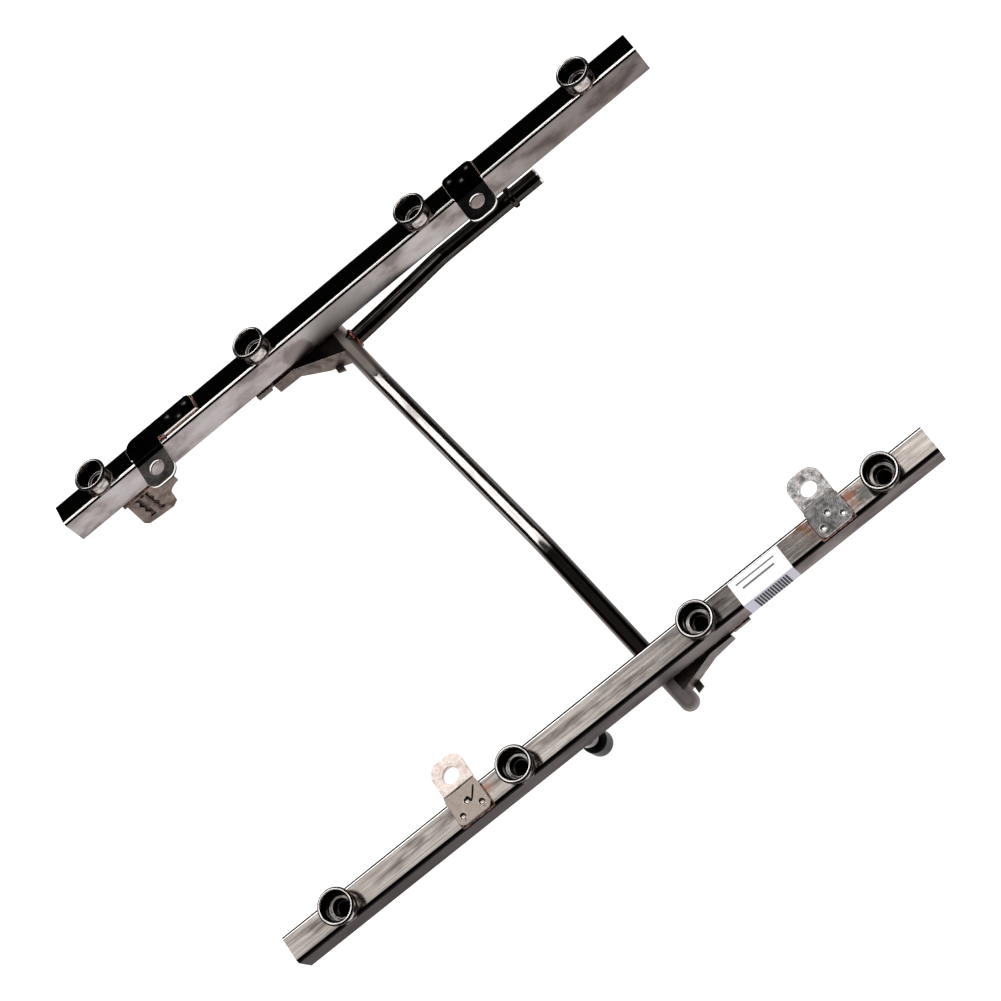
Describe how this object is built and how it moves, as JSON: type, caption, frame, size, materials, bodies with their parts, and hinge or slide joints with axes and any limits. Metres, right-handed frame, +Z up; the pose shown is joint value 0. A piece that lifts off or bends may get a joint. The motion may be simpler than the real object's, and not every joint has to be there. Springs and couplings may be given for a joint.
{
  "type": "fuel rail",
  "caption": "Twin-bank fuel rail: two rectangular steel tubes with flared injector cups, bolt brackets, a crossover tube and a beaded inlet tube.",
  "frame": {"origin": "bottom centre of the bounding box, cups up", "axes": "+X along the two rails, +Y from the first bank to the second, +Z up along the mean cup axis"},
  "size_m": [0.4088, 0.3278, 0.0604],
  "materials": {
    "rail_steel": "brushed, heat tinted",
    "plug_steel": "satin",
    "cup_steel": "bright drawn",
    "bracket_zinc": "zinc plated",
    "tube_steel": "satin",
    "inlet_steel": "bright drawn",
    "gusset_steel": "satin",
    "clip_steel": "dark satin",
    "port_steel": "turned",
    "core_brass": "turned",
    "cap_plastic": "moulded",
    "label_paper": "uncoated paper"
  },
  "bodies": {
    "root": {"bracket_a_left": "bracket_zinc", "bracket_a_right": "bracket_zinc", "bracket_b_left": "bracket_zinc", "bracket_b_right": "bracket_zinc", "crossover_gusset_a": "gusset_steel", "crossover_gusset_b": "gusset_steel", "crossover_tube": "tube_steel", "end_plug_a_left": "plug_steel", "end_plug_a_right": "plug_steel", "end_plug_b_left": "plug_steel", "end_plug_b_right": "plug_steel", "harness_clip_plate": "clip_steel", "injector_cup_a1": "cup_steel", "injector_cup_a2": "cup_steel", "injector_cup_a3": "cup_steel", "injector_cup_a4": "cup_steel", "injector_cup_b1": "cup_steel", "injector_cup_b2": "cup_steel", "injector_cup_b3": "cup_steel", "injector_cup_b4": "cup_steel", "inlet_tube": "inlet_steel", "paper_label": "label_paper", "rail_tube_a": "rail_steel", "rail_tube_b": "rail_steel", "test_port_body": "port_steel", "test_port_cap": "cap_plastic", "test_port_core": "core_brass"}
  },
  "joints": []
}
